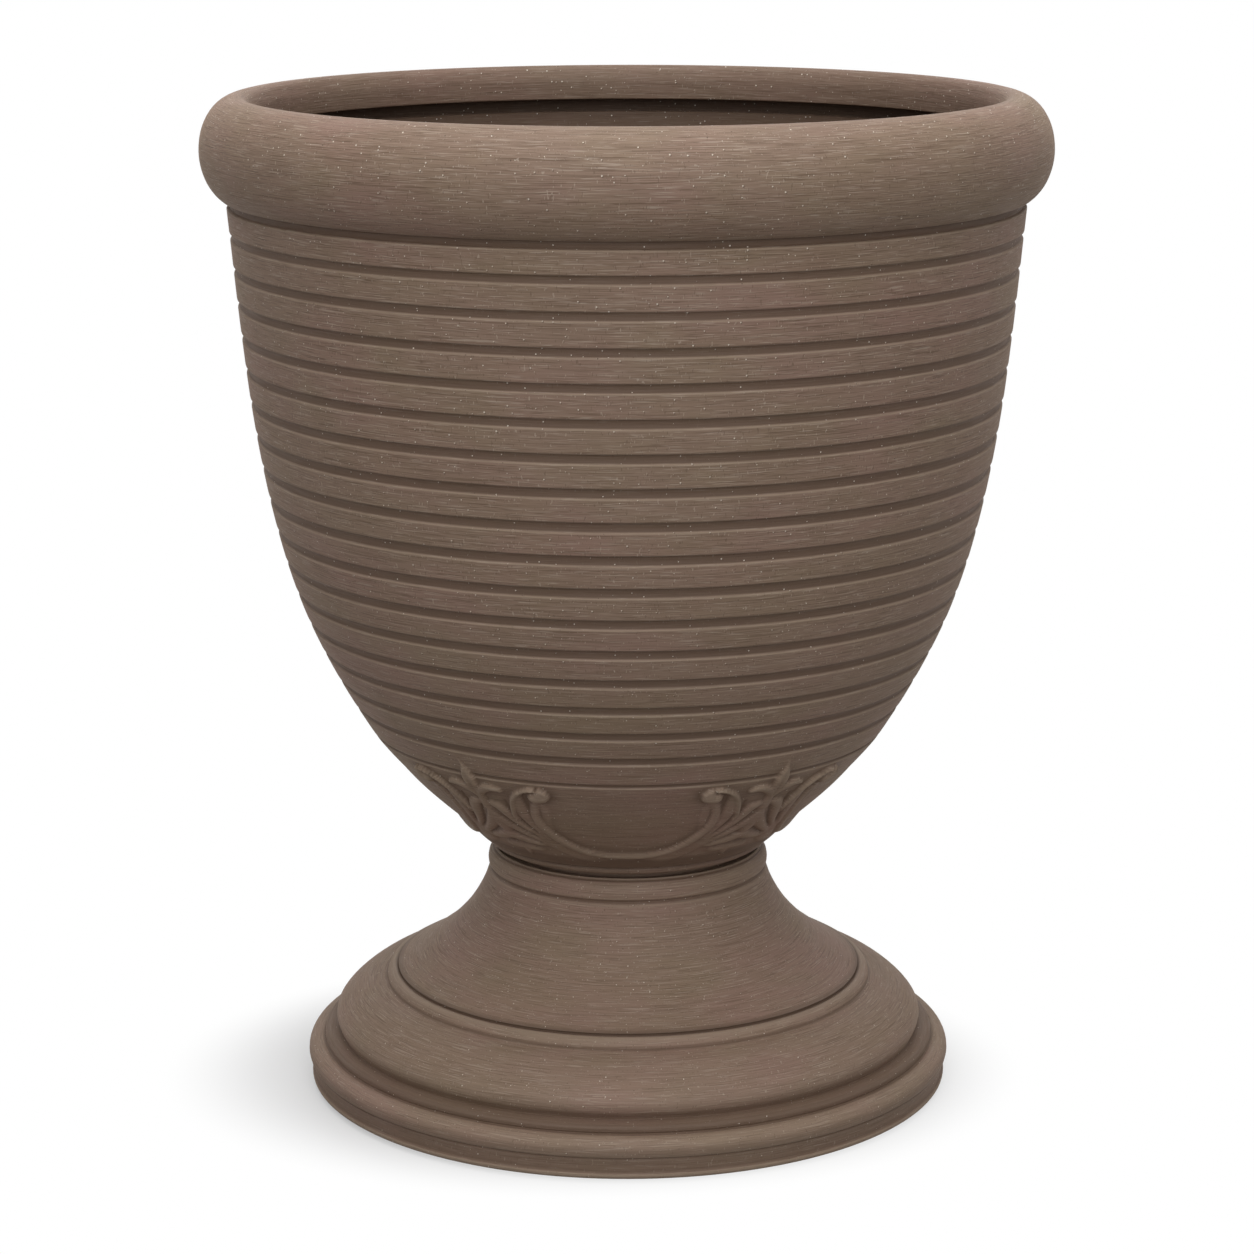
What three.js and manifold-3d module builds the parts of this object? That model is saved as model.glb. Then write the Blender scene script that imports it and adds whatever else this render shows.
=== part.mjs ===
// Urn planter: a ringed bowl with a rolled rim, bolted on a turned pedestal.
// Millimetres, +Z up. The origin is on the floor, on the axis of the urn.
import * as THREE from 'three';
import { mergeVertices } from 'three/addons/utils/BufferGeometryUtils.js';
import Module from 'manifold-3d';

const wasm = await Module();
wasm.setup();

// ---------------------------------------------------------------- sizes
const ROUND_SEGMENTS = 40;        // faces round the bowl and the pedestal
const SMALL_SEGMENTS = 12;        // faces round a bolt, washer or small hole
const SEAT_GAP = 0.3;             // between pieces that rest on each other

// Whole urn, floor to the top of the rim. The bowl's wall takes up what the rest leaves.
const URN_HEIGHT = 489.6;

// Pedestal, from the floor up.
const PEDESTAL_WALL = 4.6;
const FOOT_RADIUS = 152.1;        // outer edge of the ring that stands on the floor
const FOOT_WIDTH = 8;
const BASE_RADIUS = 160.5;        // widest part of the base roll
const BASE_ROLL_WIDTH = 11.8;
const BASE_ROLL_HEIGHT = 23.4;
const BASE_ROLL_WAIST = 13.9;     // height of its widest line
const BASE_ROLL_TURN = 116;       // degrees that its round runs on from there
const STEP_RADIUS = 152.4;        // narrow step on top of the base roll
const STEP_HEIGHT = 5.4;
const TUCK_DEPTH = 3.4;           // the dark tuck under the bell
const BELL_RADIUS = 146.3;
const BELL_LIP = 4.2;             // height of the rounded lip under the bell
const BELL_HEIGHT = 18.8;
const SHOULDER_RADIUS = 121.5;    // bead between the bell and the flare
const SHOULDER_HEIGHT = 6.2;
const LINE_DEPTH = 1.5;           // depth of the turned lines
const FLARE_RADIUS = 115.2;       // wide end of the concave flare
const FLARE_HEIGHT = 48.6;
const NECK_RADIUS = 69.3;         // narrow end of the concave flare
const COLLAR_HEIGHT = 12.5;
const COLLAR_TAPER = 4.2;         // how much narrower the collar is at its top
const PLATE_THICKNESS = 6;        // pedestal's top plate
const PLATE_HOLE_ROOM = 6;        // between the plug's flange and the plate's hole
const SEAT_RING_INSET = 5.1;      // from the top of the collar in to the raised seat
const SEAT_RING_HEIGHT = 1.5;

// Bowl, from its underside up.
const BOWL_WALL = 4.8;
const FLOOR_THICKNESS = 6;
const BOWL_BEAD_RADIUS = 69.6;    // bead at the bottom of the bowl
const BOWL_BEAD_HEIGHT = 5.6;
const COVE_RADIUS = 67.4;         // where the bowl springs from its bead
const BAND_PITCH = 15.85;         // measured along the wall
const GROOVE_WIDTH = 4.3;
const GROOVE_DEPTH = 1.4;
const FRIEZE_LENGTH = 78;         // plain panel of the frieze, along the wall

// Rolled rim.
const RIM_RADIUS = 203.2;
const RIM_OVERHANG = 12.1;        // how far the rim stands out past the wall
const RIM_WIDTH = 36.8;
const RIM_HEIGHT = 50.4;
const RIM_WALL = 4.5;
const RIM_TURN = 98;              // degrees that the roll runs on from its widest line
const RIM_HOLLOW_TURN = 78;       // degrees that the hollow inside it runs on
const SKIRT_INSET = 24.8;         // from the widest line of the rim in to its skirt
const SKIRT_HEIGHT = 17.4;
const SLOT_HEIGHT = 4.4;          // open slot between the skirt and the wall's top

// Joint between bowl and pedestal.
const BOLT_COUNT = 4;
const BOLT_CIRCLE = 42;
const BOLT_RADIUS = 3;
const BOLT_HOLE_CLEARANCE = 0.3;
const BOLT_TAIL = 3;              // bolt that shows below its nut
const HEAD_RADIUS = 6.4;
const HEAD_HEIGHT = 4;
const WASHER_OVERHANG = 1.6;      // washer that shows round the bolt's head
const WASHER_THICKNESS = 1.6;
const NUT_RADIUS = 6.4;
const NUT_HEIGHT = 5;

// Drain plug and drain screen.
const DRAIN_HOLE_RADIUS = 9;
const PLUG_CLEARANCE = 0.3;
const PLUG_FLANGE_OVERLAP = 5;    // flange past the edge of the drain hole
const PLUG_FLANGE_THICKNESS = 3;
const PLUG_STEM_RISE = 2;         // stem above the bowl's floor
const PLUG_GRIP_RADIUS = 5;
const PLUG_GRIP_LENGTH = 8;
const SCREEN_LIFT = 20;           // underside of the screen above the bowl's floor
const SCREEN_THICKNESS = 3;
const SCREEN_CLEARANCE = 0.45;    // between the screen's edge and the wall
const SCREEN_HOLE_RADIUS = 4;
const SCREEN_RING_STEP = 24;      // between the rings of holes
const SCREEN_RINGS = 3;

// Free curves, as shares of their own height and width.
// Bowl wall: share of the height, share of the way from the cove to the wall radius.
const BOWL_OUTLINE = [
  [0, 0], [0.0125, 0.068], [0.0300, 0.126], [0.0560, 0.204], [0.0986, 0.318],
  [0.1407, 0.409], [0.1828, 0.485], [0.2671, 0.611], [0.3513, 0.714], [0.4356, 0.790],
  [0.5191, 0.845], [0.6029, 0.887], [0.6868, 0.920], [0.7707, 0.945], [0.8546, 0.9665],
  [0.9384, 0.9855], [1, 1],
];
// Bell: share of the way in from its radius, share of its height.
const BELL_OUTLINE = [
  [0, 0], [0.0226, 0.14], [0.107, 0.308], [0.243, 0.49], [0.424, 0.678], [0.638, 0.846],
  [1, 1],
];
// Flare: share of the way in from its wide end, share of its height.
const FLARE_OUTLINE = [
  [0, 0], [0.125, 0.060], [0.253, 0.136], [0.370, 0.216], [0.482, 0.296], [0.582, 0.379],
  [0.748, 0.550], [0.865, 0.713], [0.953, 0.876], [1, 1],
];

// ---------------------------------------------------------------- sizes that follow
const WALL_RADIUS = RIM_RADIUS - RIM_OVERHANG;    // outside of the wall, under the rim
const SKIRT_RADIUS = RIM_RADIUS - SKIRT_INSET;    // inner face of the rim's skirt
const WASHER_RADIUS = HEAD_RADIUS + WASHER_OVERHANG;
const PLUG_FLANGE_RADIUS = DRAIN_HOLE_RADIUS + PLUG_FLANGE_OVERLAP;
const PLATE_HOLE_RADIUS = PLUG_FLANGE_RADIUS + PLATE_HOLE_ROOM;
// Raised seat on which the bowl stands.
const SEAT_RING_RADIUS = NECK_RADIUS - COLLAR_TAPER - SEAT_RING_INSET;

// ---------------------------------------------------------------- levels
const Z_ROLL = BASE_ROLL_HEIGHT;
const Z_STEP = Z_ROLL + STEP_HEIGHT;
const Z_BELL = Z_STEP + BELL_LIP;
const Z_SHOULDER = Z_BELL + BELL_HEIGHT;
const Z_FLARE = Z_SHOULDER + SHOULDER_HEIGHT;
const Z_COLLAR = Z_FLARE + FLARE_HEIGHT;
const Z_PEDESTAL_TOP = Z_COLLAR + COLLAR_HEIGHT;
const Z_SEAT = Z_PEDESTAL_TOP + SEAT_RING_HEIGHT;
const Z_PLATE = Z_PEDESTAL_TOP - PLATE_THICKNESS;
const Z_BOWL = Z_SEAT + SEAT_GAP;
const Z_FLOOR = Z_BOWL + FLOOR_THICKNESS;
const Z_COVE = Z_BOWL + BOWL_BEAD_HEIGHT;

// The roll of the rim is a half ellipse that springs from the bottom of the wall's last groove.
const ROLL_RADIUS = RIM_RADIUS - RIM_WIDTH / 2;
const Z_ROLL_CENTRE = URN_HEIGHT - RIM_HEIGHT / 2;
const ROLL_START = Math.acos((WALL_RADIUS - GROOVE_DEPTH - ROLL_RADIUS) / (RIM_WIDTH / 2));
const Z_RIM_JOIN = Z_ROLL_CENTRE - RIM_HEIGHT / 2 * Math.sin(ROLL_START);
const WALL_HEIGHT = Z_RIM_JOIN - Z_COVE;

// ---------------------------------------------------------------- helpers
// A closed body with merged vertices, without slivers, facing out.
function tidy(geometry) {
  geometry.deleteAttribute('normal');
  geometry.deleteAttribute('uv');
  const merged = mergeVertices(geometry, 1e-4);
  const position = merged.getAttribute('position');
  const index = merged.getIndex();
  const kept = [];
  let volume = 0;
  const a = new THREE.Vector3();
  const b = new THREE.Vector3();
  const c = new THREE.Vector3();
  for (let i = 0; i < index.count; i += 3) {
    const ia = index.getX(i);
    const ib = index.getX(i + 1);
    const ic = index.getX(i + 2);
    if (ia === ib || ib === ic || ic === ia) continue;
    kept.push(ia, ib, ic);
    a.fromBufferAttribute(position, ia);
    b.fromBufferAttribute(position, ib);
    c.fromBufferAttribute(position, ic);
    volume += a.dot(b.cross(c)) / 6;
  }
  if (volume < 0) {
    for (let i = 0; i < kept.length; i += 3) {
      const swap = kept[i];
      kept[i] = kept[i + 1];
      kept[i + 1] = swap;
    }
  }
  merged.setIndex(kept);
  return merged;
}

// A body of revolution about Z from [radius, height] points.
// The outline starts and ends on the axis, or is closed on itself.
function turned(outline, segments) {
  const points = outline.map(([radius, height]) => new THREE.Vector2(radius, height));
  const onAxis = outline[0][0] === 0 && outline[outline.length - 1][0] === 0;
  if (!onAxis) points.push(points[0].clone());
  const geometry = new THREE.LatheGeometry(points, segments);
  geometry.rotateX(Math.PI / 2);
  return tidy(geometry);
}

// A prism along Z from z0 to z1, round or six-sided.
function prism(radius, sides, z0, z1) {
  const geometry = new THREE.CylinderGeometry(radius, radius, z1 - z0, sides);
  geometry.rotateX(Math.PI / 2);
  geometry.translate(0, 0, (z0 + z1) / 2);
  return tidy(geometry);
}

function solid(geometry) {
  return new wasm.Manifold(new wasm.Mesh({
    numProp: 3,
    vertProperties: new Float32Array(geometry.getAttribute('position').array),
    triVerts: new Uint32Array(geometry.getIndex().array),
  }));
}

function fromSolid(body) {
  const mesh = body.getMesh();
  const geometry = new THREE.BufferGeometry();
  geometry.setAttribute('position', new THREE.BufferAttribute(mesh.vertProperties, 3));
  geometry.setIndex(Array.from(mesh.triVerts));
  return geometry;
}

function cut(geometry, tools) {
  let body = solid(geometry);
  for (const tool of tools) body = body.subtract(solid(tool));
  return fromSolid(body);
}

function join(pieces) {
  let body = solid(pieces[0]);
  for (const piece of pieces.slice(1)) body = body.add(solid(piece));
  return fromSolid(body);
}

// A smooth curve through [radius, height] points.
function smoothCurve(points) {
  const knots = points.map(([radius, height]) => new THREE.Vector3(radius, height, 0));
  return new THREE.CatmullRomCurve3(knots, false, 'centripetal');
}

// The point at distance s along a curve, moved to its left by offset.
function along(curve, s, offset = 0) {
  const length = curve.getLength();
  const u = Math.min(1, Math.max(0, s / length));
  const point = curve.getPointAt(u);
  const tangent = curve.getTangentAt(u);
  return [point.x - tangent.y * offset, point.y + tangent.x * offset];
}

function ellipseArc(centreR, centreZ, a, b, from, to, count) {
  const points = [];
  for (let i = 0; i <= count; i += 1) {
    const angle = THREE.MathUtils.degToRad(from + (to - from) * i / count);
    points.push([centreR + a * Math.cos(angle), centreZ + b * Math.sin(angle)]);
  }
  return points;
}

function ringPlaces(count, radius, turn = 0) {
  const places = [];
  for (let i = 0; i < count; i += 1) {
    const angle = turn + 2 * Math.PI * i / count;
    places.push([radius * Math.cos(angle), radius * Math.sin(angle)]);
  }
  return places;
}

const boltPlaces = ringPlaces(BOLT_COUNT, BOLT_CIRCLE, Math.PI / 4);
const boltHoleRadius = BOLT_RADIUS + BOLT_HOLE_CLEARANCE;

function boltHoles(z0, z1) {
  return boltPlaces.map(([x, y]) => {
    const hole = prism(boltHoleRadius, SMALL_SEGMENTS, z0, z1);
    hole.translate(x, y, 0);
    return hole;
  });
}

// ---------------------------------------------------------------- bowl
const wallCurve = smoothCurve(BOWL_OUTLINE.map(([height, out]) => [
  COVE_RADIUS + (WALL_RADIUS - COVE_RADIUS) * out,
  Z_COVE + WALL_HEIGHT * height,
]));
wallCurve.arcLengthDivisions = 2000;
const wallLength = wallCurve.getLength();
const grooveCount = Math.floor((wallLength - FRIEZE_LENGTH) / BAND_PITCH);

// Inner face of the wall, from the rim down to the floor.
const innerWall = [];
const innerSteps = 10;
for (let i = 0; i < innerSteps; i += 1) {
  const s = (wallLength - 2) * (1 - i / innerSteps) ** 1.25;
  innerWall.push(along(wallCurve, s, BOWL_WALL));
}
innerWall.push([COVE_RADIUS - BOWL_WALL, Z_FLOOR]);

function innerRadius(z) {
  for (let i = 1; i < innerWall.length; i += 1) {
    const [highR, highZ] = innerWall[i - 1];
    const [lowR, lowZ] = innerWall[i];
    if (z >= lowZ) return lowR + (highR - lowR) * (z - lowZ) / (highZ - lowZ);
  }
  return innerWall[innerWall.length - 1][0];
}

function bowlOutline() {
  const outline = [];
  // Underside and bead.
  outline.push([DRAIN_HOLE_RADIUS, Z_BOWL]);
  outline.push([BOWL_BEAD_RADIUS - 1.4, Z_BOWL]);
  outline.push([BOWL_BEAD_RADIUS, Z_BOWL + BOWL_BEAD_HEIGHT * 0.3]);
  outline.push([BOWL_BEAD_RADIUS, Z_BOWL + BOWL_BEAD_HEIGHT * 0.6]);
  // Panel of the frieze.
  const panelEnd = wallLength - grooveCount * BAND_PITCH - GROOVE_WIDTH / 2;
  const panelSteps = 7;
  for (let i = 0; i < panelSteps; i += 1) {
    outline.push(along(wallCurve, panelEnd * (i / panelSteps) ** 1.3));
  }
  // Raised bands between turned grooves. The last groove runs into the rim.
  for (let i = grooveCount; i > 0; i -= 1) {
    const s = wallLength - i * BAND_PITCH;
    outline.push(along(wallCurve, s - GROOVE_WIDTH / 2));
    outline.push(along(wallCurve, s, GROOVE_DEPTH));
    outline.push(along(wallCurve, s + GROOVE_WIDTH / 2));
  }
  outline.push(along(wallCurve, wallLength - GROOVE_WIDTH / 2));
  // Roll of the rim, outside and over the top.
  const a = RIM_WIDTH / 2;
  const b = RIM_HEIGHT / 2;
  const start = THREE.MathUtils.radToDeg(ROLL_START);
  outline.push(...ellipseArc(ROLL_RADIUS, Z_ROLL_CENTRE, a, b, -start, 0, 5));
  outline.push(...ellipseArc(ROLL_RADIUS, Z_ROLL_CENTRE, a, b, 0, 90, 6));
  outline.push(...ellipseArc(ROLL_RADIUS, Z_ROLL_CENTRE, a, b, RIM_TURN, RIM_TURN, 1));
  // Inner face of the skirt and its lower edge.
  const round = ROLL_RADIUS - SKIRT_RADIUS;
  const skirtEnd = URN_HEIGHT - SKIRT_HEIGHT;
  outline.push([SKIRT_RADIUS + round * 0.28, URN_HEIGHT - round * 0.30]);
  outline.push([SKIRT_RADIUS, URN_HEIGHT - round * 1.1]);
  outline.push([SKIRT_RADIUS, skirtEnd]);
  outline.push([SKIRT_RADIUS + RIM_WALL, skirtEnd]);
  // Hollow of the roll, back down to the wall.
  const ca = a - RIM_WALL;
  const cb = b - RIM_WALL;
  const legOut = WALL_RADIUS;
  const legIn = WALL_RADIUS - BOWL_WALL;
  const foot = THREE.MathUtils.radToDeg(Math.acos((legOut - ROLL_RADIUS) / ca));
  outline.push([SKIRT_RADIUS + RIM_WALL, Z_ROLL_CENTRE + cb * 0.94]);
  outline.push(...ellipseArc(ROLL_RADIUS, Z_ROLL_CENTRE, ca, cb, RIM_HOLLOW_TURN, -foot, 6));
  // Upright top of the wall inside the roll.
  const legTop = skirtEnd - SLOT_HEIGHT;
  outline.push([legOut, legTop]);
  outline.push([legIn, legTop]);
  outline.push(...innerWall);
  outline.push([DRAIN_HOLE_RADIUS, Z_FLOOR]);
  return outline;
}

const bowlGeometry = cut(
  turned(bowlOutline(), ROUND_SEGMENTS),
  boltHoles(Z_BOWL - 5, Z_FLOOR + 5),
);

// ---------------------------------------------------------------- pedestal
const flarePoints = FLARE_OUTLINE.map(([inward, up]) => [
  FLARE_RADIUS + (NECK_RADIUS - FLARE_RADIUS) * inward,
  Z_FLARE + FLARE_HEIGHT * up,
]);
const bellPoints = BELL_OUTLINE.map(([inward, up]) => [
  BELL_RADIUS + (SHOULDER_RADIUS - BELL_RADIUS) * inward,
  Z_BELL + BELL_HEIGHT * up,
]);
const flareCurve = smoothCurve(flarePoints);
const bellCurve = smoothCurve(bellPoints);

function pedestalOutline() {
  const outline = [];
  // Foot and base roll.
  outline.push([FOOT_RADIUS - FOOT_WIDTH, 0]);
  outline.push([FOOT_RADIUS, 0]);
  outline.push([BASE_RADIUS - 3.2, 2.6]);
  outline.push([BASE_RADIUS - 1.6, 5.4]);
  outline.push([BASE_RADIUS - 0.5, 9]);
  const rollR = BASE_RADIUS - BASE_ROLL_WIDTH / 2;
  const rollB = BASE_ROLL_HEIGHT - BASE_ROLL_WAIST;
  const rollA = BASE_ROLL_WIDTH / 2;
  outline.push(...ellipseArc(rollR, BASE_ROLL_WAIST, rollA, rollB, 0, BASE_ROLL_TURN, 7));
  // Step.
  const stepBottom = Z_ROLL + 0.6;
  outline.push([STEP_RADIUS - 0.9, stepBottom]);
  outline.push([STEP_RADIUS, stepBottom + 0.9]);
  outline.push([STEP_RADIUS, Z_STEP - 1.8]);
  outline.push([STEP_RADIUS - 1.6, Z_STEP - 0.4]);
  outline.push([BELL_RADIUS - TUCK_DEPTH, Z_STEP]);
  // Bell, with its lip tucked under.
  outline.push([BELL_RADIUS - TUCK_DEPTH + 0.6, Z_STEP + 0.8]);
  outline.push([BELL_RADIUS - 0.5, Z_STEP + BELL_LIP * 0.55]);
  outline.push(...bellPoints);
  // Shoulder bead between two turned lines.
  outline.push([SHOULDER_RADIUS - 0.7, Z_SHOULDER + 0.1]);
  outline.push([SHOULDER_RADIUS - 0.9, Z_SHOULDER + 1.4]);
  outline.push([SHOULDER_RADIUS - 2.2, Z_SHOULDER + SHOULDER_HEIGHT * 0.66]);
  outline.push([FLARE_RADIUS + 1.0, Z_FLARE - 0.9]);
  outline.push([FLARE_RADIUS - LINE_DEPTH * 0.6, Z_FLARE - LINE_DEPTH]);
  // Flare.
  outline.push(...flarePoints);
  // Turned line and collar.
  outline.push([NECK_RADIUS - LINE_DEPTH, Z_COLLAR + 1.0]);
  outline.push([NECK_RADIUS - LINE_DEPTH, Z_COLLAR + 1.9]);
  outline.push([NECK_RADIUS, Z_COLLAR + 2.9]);
  outline.push([NECK_RADIUS - COLLAR_TAPER * 0.12, Z_COLLAR + COLLAR_HEIGHT * 0.40]);
  outline.push([NECK_RADIUS - COLLAR_TAPER * 0.78, Z_PEDESTAL_TOP - 0.9]);
  outline.push([NECK_RADIUS - COLLAR_TAPER, Z_PEDESTAL_TOP]);
  // Top plate with its raised seat.
  outline.push([SEAT_RING_RADIUS, Z_PEDESTAL_TOP]);
  outline.push([SEAT_RING_RADIUS, Z_SEAT]);
  outline.push([PLATE_HOLE_RADIUS, Z_SEAT]);
  outline.push([PLATE_HOLE_RADIUS, Z_PLATE]);
  // Inner face, down to the foot.
  outline.push([NECK_RADIUS - LINE_DEPTH - PEDESTAL_WALL, Z_PLATE]);
  const flareLength = flareCurve.getLength();
  for (let i = 0; i < 7; i += 1) {
    outline.push(along(flareCurve, flareLength * (0.97 - 0.97 * i / 6), PEDESTAL_WALL));
  }
  const bellLength = bellCurve.getLength();
  for (let i = 0; i < 4; i += 1) {
    outline.push(along(bellCurve, bellLength * (0.92 - 0.72 * i / 3), PEDESTAL_WALL));
  }
  outline.push([BELL_RADIUS - TUCK_DEPTH - PEDESTAL_WALL, Z_BELL]);
  outline.push([BELL_RADIUS - TUCK_DEPTH - PEDESTAL_WALL, Z_ROLL]);
  outline.push([FOOT_RADIUS - FOOT_WIDTH, BASE_ROLL_WAIST]);
  return outline;
}

const pedestalGeometry = cut(
  turned(pedestalOutline(), ROUND_SEGMENTS),
  boltHoles(Z_PLATE - 5, Z_SEAT + 5),
);

// ---------------------------------------------------------------- fasteners
const washerZ = Z_FLOOR + SEAT_GAP;
const headZ = washerZ + WASHER_THICKNESS + SEAT_GAP;
const nutTopZ = Z_PLATE - SEAT_GAP;
const nutZ = nutTopZ - NUT_HEIGHT;
const boltEndZ = nutZ - BOLT_TAIL;

function boltGeometry() {
  return join([
    prism(HEAD_RADIUS, 6, headZ, headZ + HEAD_HEIGHT),
    prism(BOLT_RADIUS, SMALL_SEGMENTS, boltEndZ, headZ + HEAD_HEIGHT / 2),
  ]);
}

function washerGeometry() {
  const outline = [
    [boltHoleRadius, washerZ],
    [WASHER_RADIUS, washerZ],
    [WASHER_RADIUS, washerZ + WASHER_THICKNESS],
    [boltHoleRadius, washerZ + WASHER_THICKNESS],
  ];
  return turned(outline, SMALL_SEGMENTS);
}

function nutGeometry() {
  const hole = prism(boltHoleRadius, SMALL_SEGMENTS, nutZ - 2, nutTopZ + 2);
  return cut(prism(NUT_RADIUS, 6, nutZ, nutTopZ), [hole]);
}

// ---------------------------------------------------------------- drain plug
const plugStemRadius = DRAIN_HOLE_RADIUS - PLUG_CLEARANCE;
const plugSeatZ = Z_BOWL - SEAT_GAP;
const plugBottomZ = plugSeatZ - PLUG_FLANGE_THICKNESS;

const plugGeometry = turned([
  [0, plugBottomZ - PLUG_GRIP_LENGTH],
  [PLUG_GRIP_RADIUS, plugBottomZ - PLUG_GRIP_LENGTH],
  [PLUG_GRIP_RADIUS * 0.7, plugBottomZ - PLUG_GRIP_LENGTH * 0.4],
  [PLUG_GRIP_RADIUS, plugBottomZ],
  [PLUG_FLANGE_RADIUS, plugBottomZ],
  [PLUG_FLANGE_RADIUS, plugSeatZ],
  [plugStemRadius, plugSeatZ],
  [plugStemRadius, Z_FLOOR],
  [plugStemRadius - 1, Z_FLOOR + PLUG_STEM_RISE],
  [0, Z_FLOOR + PLUG_STEM_RISE],
], 20);

// ---------------------------------------------------------------- drain screen
// The disc drops into the tapering bowl until its edge meets the wall.
const screenZ = Z_FLOOR + SCREEN_LIFT;
const screenLow = innerRadius(screenZ) - SCREEN_CLEARANCE;
const screenHigh = innerRadius(screenZ + SCREEN_THICKNESS) - SCREEN_CLEARANCE;

function screenGeometry() {
  const disc = turned([
    [0, screenZ],
    [screenLow, screenZ],
    [screenHigh, screenZ + SCREEN_THICKNESS],
    [0, screenZ + SCREEN_THICKNESS],
  ], ROUND_SEGMENTS);
  const places = [[0, 0]];
  for (let ring = 1; ring <= SCREEN_RINGS; ring += 1) {
    places.push(...ringPlaces(6 * ring, SCREEN_RING_STEP * ring));
  }
  const holes = places.map(([x, y]) => {
    const hole = prism(SCREEN_HOLE_RADIUS, 6, screenZ - 2, screenZ + SCREEN_THICKNESS + 2);
    hole.translate(x, y, 0);
    return hole;
  });
  return cut(disc, holes);
}

// ---------------------------------------------------------------- scene
const urn = new THREE.Group();
urn.name = 'urn_planter';

const weatheredResin = () => new THREE.MeshStandardMaterial({
  color: 0x6f5b4d, roughness: 0.82, metalness: 0,
});
const darkRubber = () => new THREE.MeshStandardMaterial({
  color: 0x1f1e1d, roughness: 0.9, metalness: 0,
});
const blackPlastic = () => new THREE.MeshStandardMaterial({
  color: 0x2a2826, roughness: 0.6, metalness: 0,
});
const steel = () => new THREE.MeshStandardMaterial({
  color: 0xa9abad, roughness: 0.35, metalness: 1,
});

function place(name, geometry, material, x = 0, y = 0) {
  const mesh = new THREE.Mesh(geometry, material);
  mesh.name = name;
  mesh.position.set(x, y, 0);
  urn.add(mesh);
}

place('bowl', bowlGeometry, weatheredResin());
place('pedestal', pedestalGeometry, weatheredResin());
place('drain_plug', plugGeometry, darkRubber());
place('drain_screen', screenGeometry(), blackPlastic());
boltPlaces.forEach(([x, y], i) => {
  place(`bolt_${i + 1}`, boltGeometry(), steel(), x, y);
  place(`sealing_washer_${i + 1}`, washerGeometry(), darkRubber(), x, y);
  place(`nut_${i + 1}`, nutGeometry(), steel(), x, y);
});

export default urn;
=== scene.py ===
"""The look of an urn planter: a ringed resin bowl with a scroll frieze, bolted to a turned foot.

Lengths are in millimetres up to the point where a mesh is made, and metres from there.
"""

import math

import bpy
import numpy as np
from mathutils import Matrix, Vector
from mathutils.geometry import delaunay_2d_cdt


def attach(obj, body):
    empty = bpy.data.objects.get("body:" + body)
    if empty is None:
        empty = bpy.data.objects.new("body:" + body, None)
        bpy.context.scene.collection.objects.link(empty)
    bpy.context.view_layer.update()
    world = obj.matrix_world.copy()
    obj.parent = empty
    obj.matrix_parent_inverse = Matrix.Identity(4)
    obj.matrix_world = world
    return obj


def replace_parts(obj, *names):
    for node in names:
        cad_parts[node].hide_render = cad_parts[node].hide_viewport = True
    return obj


MM = 0.001

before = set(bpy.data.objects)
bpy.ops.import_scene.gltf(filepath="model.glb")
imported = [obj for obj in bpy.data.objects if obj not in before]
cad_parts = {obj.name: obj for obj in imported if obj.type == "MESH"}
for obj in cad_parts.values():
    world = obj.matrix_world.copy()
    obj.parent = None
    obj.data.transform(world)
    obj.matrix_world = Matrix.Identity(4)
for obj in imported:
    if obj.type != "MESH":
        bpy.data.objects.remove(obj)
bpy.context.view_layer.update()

# ------------------------------------------------------------------ sizes

# Places on an outline are radius and height.
ROLL_CENTRE = (184.8, 464.4)  # the rolled rim's section is an ellipse
ROLL_HALF = (18.4, 25.2)
ROLL_INSIDE_HALF = (13.9, 20.7)
WALL_TOP = (191.1, 440.11)
COVE = (67.4, 126.5)  # where the bowl's wall starts, over the bead at its foot
FLOOR_UNDER, FLOOR_TOP = 120.9, 126.9  # the bowl's floor
PLATE_UNDER, PLATE_TOP = 113.1, 120.6  # the foot's top plate
FOOT_WALL = 4.6

# Grooves are numbered from the rim down. The last one is the fine line over the frieze.
BAND_PITCH = 15.85
LAST_GROOVE = 17
GROOVE_DEPTH, RIM_GROOVE_DEPTH, LAST_GROOVE_DEPTH = 1.2, 1.8, 0.9
RIM_GROOVE_HALF, LAST_GROOVE_HALF = 2.9, 1.4
GROOVE_DROP, LAST_GROOVE_DROP = 0.8, 0.7  # how far below the even pitch the middle ones and the last one lie

BOLT_PLACES = [(29.7, 29.7), (-29.7, 29.7), (-29.7, -29.7), (29.7, -29.7)]
BOLT_HOLE, DRAIN_HOLE, PLATE_HOLE, SCREEN_HOLE = 3.3, 9, 20, 4  # radii
HEX_HALF_WIDTH = 5.54  # of the bolts' heads and the nuts, across the flats
THREAD_ROOT, THREAD_DEPTH = 2.72, 0.26
SCREEN_UNDER, SCREEN_TOP = 146.9, 149.9
SCREEN_HOLES = [(24, 6), (48, 12), (72, 18)]  # radius of each ring of holes, and how many

LARGE_RING, SMALL_RING, WASHER_RING = 144, 72, 60  # points round a turned piece

# How far out the bowl's wall is at each height, both as shares.
BOWL_WALL = [
    (0, 0), (0.0125, 0.068), (0.03, 0.126), (0.056, 0.204), (0.0986, 0.318), (0.1407, 0.409),
    (0.1828, 0.485), (0.2671, 0.611), (0.3513, 0.714), (0.4356, 0.790), (0.5191, 0.845),
    (0.6029, 0.887), (0.6868, 0.920), (0.7707, 0.945), (0.8546, 0.9665), (0.9384, 0.9855), (1, 1),
]
# The inside of the wall, from inside the roll down to the curve into the floor.
INNER_WALL = [
    (186.3, 460), (186.1, 438.6), (182.2, 395.6), (177.9, 354.1), (172.0, 314.2), (163.8, 276.2),
    (152.4, 241.1), (137.1, 209.5), (119.9, 181.2), (100.8, 158.2), (81.0, 140.5),
]
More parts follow.
